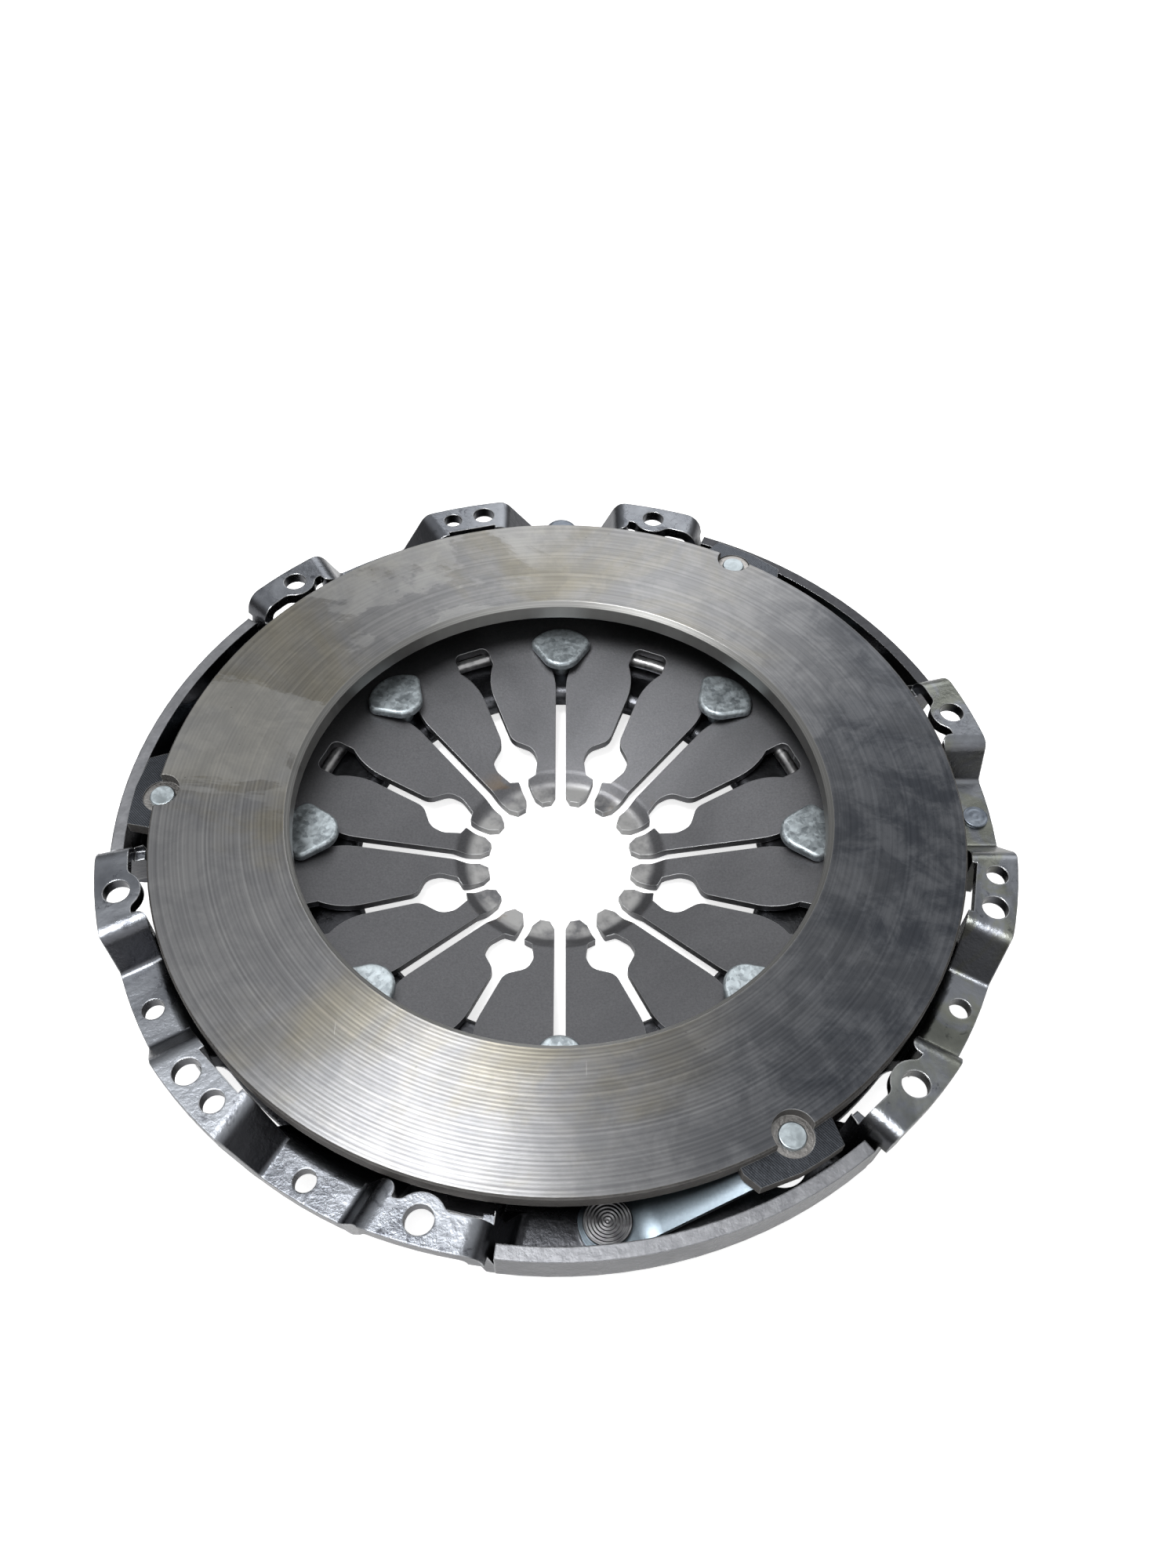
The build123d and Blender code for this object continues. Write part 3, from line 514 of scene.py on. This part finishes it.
def even_cuts(start, end, count):
    """Planes across the line between two points, evenly spaced with one at either end."""
    return [(start.lerp(end, k / (count - 1)), (end - start).normalized()) for k in range(count)]


def make_straps(finish):
    """Strap leaves, each sliced with edge loops between the straight runs at its rivets."""
    for station, angle in LUG_ANGLES.items():
        anchor = polar(STRAP_RIVET_R, angle - STRAP_SWEEP)
        lug = polar(LUG_RIVET_R, angle)
        along = (lug - anchor).normalized() * STRAP_FLAT * MM
        start, end = anchor + along, lug - along
        for leaf in (1, 2, 3):
            node = f"strap_{station}_leaf_{leaf}"
            mesh = sliced_copy(node, even_cuts(start, end, STRAP_LOOPS))
            piece = add_piece(f"flexing_{node}", mesh, finish)
            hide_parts(node)
            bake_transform(piece)


def make_spring(finish):
    """The diaphragm spring as one sector per finger, each sliced with edge loops from the fulcrum out to the
    ridge.
    """
    pitch = 360.0 / FINGERS
    for k in range(FINGERS):
        first, last = FIRST_SLOT + k * pitch, FIRST_SLOT + (k + 1) * pitch
        middle = (first + last) / 2
        start, end = polar(FULCRUM_R, middle), polar(RIDGE_R, middle)
        sides = [(Vector(), polar(1.0, first + 90.0)), (Vector(), polar(1.0, last - 90.0))]
        mesh = sliced_copy("diaphragm_spring", even_cuts(start, end, SPRING_LOOPS), sides)
        piece = add_piece(f"spring_sector_{k + 1:02d}", mesh, finish)
        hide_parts("diaphragm_spring")
        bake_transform(piece)


def lathe(name, node, profile, finish, body):
    """Turned piece in place of a round CAD node.

    The profile is (radius, height) points in millimetres, from the low end's middle to the high end's.
    """
    low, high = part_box(node)
    centre = (Vector(low) + Vector(high)) / 2
    turns = [2.0 * math.pi * k / LATHE_SEGMENTS for k in range(LATHE_SEGMENTS)]
    work = bmesh.new()
    rings = []
    for r, z in profile:
        # A point on the axis is one vertex, not a ring
        rings.append([
            work.verts.new((centre.x + r * MM * math.cos(turn), centre.y + r * MM * math.sin(turn), z * MM))
            for turn in (turns if r > 0.0 else turns[:1])
        ])
    for lower, upper in zip(rings, rings[1:]):
        for k in range(LATHE_SEGMENTS):
            after = (k + 1) % LATHE_SEGMENTS
            corners = [lower[k % len(lower)], lower[after % len(lower)],
                       upper[after % len(upper)], upper[k % len(upper)]]
            work.faces.new(list(dict.fromkeys(corners)))
    bmesh.ops.recalc_face_normals(work, faces=work.faces)
    mesh = new_mesh(name, work)
    mesh.shade_smooth()
    piece = add_piece(name, mesh, finish)
    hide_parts(node)
    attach(piece, body)


def ringed_face(top, r, pitch, depth):
    """Profile of a head's face from its edge to its middle, with concentric rings."""
    outer = r - RING_MARGIN
    points = []
    for k in range(int(outer / RING_STEP)):
        at = outer - k * RING_STEP
        wave = 0.5 - 0.5 * math.cos(2.0 * math.pi * at / pitch)
        points.append((at, top - depth * (0.2 + 0.8 * wave)))
    return points + [(0.0, top - 0.5 * depth)]


def make_ringed_rivet(name, node, tail, head, rings, finish):
    """Rivet of the cover with turned rings in its head."""
    low, high = (corner.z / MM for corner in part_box(node))
    profile = [(r, low + z) for r, z in tail] + [(r, high + z) for r, z in head]
    head_r = max(r for r, _ in head)
    lathe(name, node, profile + ringed_face(high, head_r, *rings), finish, "cover")


make_straps(rolled_strip())
make_spring(FINISHES["diaphragm_spring"])
for station in LUG_ANGLES:
    make_ringed_rivet(f"ringed_strap_rivet_{station}", f"strap_rivet_{station}", STRAP_RIVET_TAIL,
                      STRAP_RIVET_HEAD, STRAP_RIVET_RINGS, FINISHES["strap_rivet"])
make_ringed_rivet("ringed_balance_rivet", "balance_rivet_flat", BALANCE_RIVET_TAIL, BALANCE_RIVET_HEAD,
                  BALANCE_RIVET_RINGS, FINISHES["balance_rivet"])


# ---------------------------------------------------------------- stage, lights and camera
def make_floor():
    """Plain floor under the finger tips: white to the camera, and it keeps a soft shadow."""
    s = Shader("floor_white")
    path = s.add("ShaderNodeLightPath").outputs
    glow = s.plus(s.times(path["Is Camera Ray"], FLOOR_GLOW),
                  s.times(path["Is Glossy Ray"], FLOOR_MIRRORED_GLOW))
    mesh = bpy.data.meshes.new("floor")
    corners = [(x * FLOOR_HALF, y * FLOOR_HALF, FLOOR_Z) for x, y in ((-1, -1), (1, -1), (1, 1), (-1, 1))]
    mesh.from_pydata(corners, [], [(0, 1, 2, 3)])
    coat(mesh, s.finish(Base_Color=(0.80, 0.80, 0.80), Roughness=0.9, Emission_Color=WHITE,
                        Emission_Strength=glow))
    floor = add_object("floor", mesh)


def make_world():
    """Studio surround, dim round the horizon and brighter overhead; plain white where the camera sees it."""
    world = bpy.data.worlds.new("studio")
    bpy.context.scene.world = world
    world.use_nodes = True
    n = Nodes(world.node_tree)
    height = n.split(n.add("ShaderNodeTexCoord").outputs["Generated"])[2]
    glow = n.step(height, HORIZON_TOP, OVERHEAD_START, HORIZON_GLOW, OVERHEAD_GLOW)
    seen = n.add("ShaderNodeLightPath").outputs["Is Camera Ray"]
    background = n.tree.nodes["Background"]
    n.put(background.inputs["Color"], WHITE)
    n.put(background.inputs["Strength"], n.mix(seen, glow, 1.0, "FLOAT"))


def make_lamp(name, place, size, power):
    """Rectangular area light that faces the part's origin."""
    lamp = bpy.data.lights.new(name, "AREA")
    lamp.shape = "RECTANGLE"
    lamp.size, lamp.size_y = size
    lamp.energy = power
    light = add_object(name, lamp)
    light.location = place
    light.rotation_euler = (-Vector(place)).to_track_quat("-Z", "Y").to_euler()


def make_camera():
    """Camera at the photograph's viewing angle."""
    camera_data = bpy.data.cameras.new("camera")
    camera_data.lens = CAMERA_LENS
    camera_data.sensor_width = CAMERA_SENSOR
    camera_data.sensor_fit = "AUTO"
    camera_data.clip_start = 0.01
    camera = add_object("camera", camera_data)
    turn = Matrix((CAMERA_RIGHT, CAMERA_UP, CAMERA_BACK)).transposed().to_4x4()
    camera.matrix_world = Matrix.Translation(CAMERA_PLACE) @ turn
    bpy.context.scene.camera = camera


make_floor()
make_world()
for lamp_row in LAMPS:
    make_lamp(*lamp_row)
make_camera()
bpy.context.scene.view_settings.view_transform = "Standard"
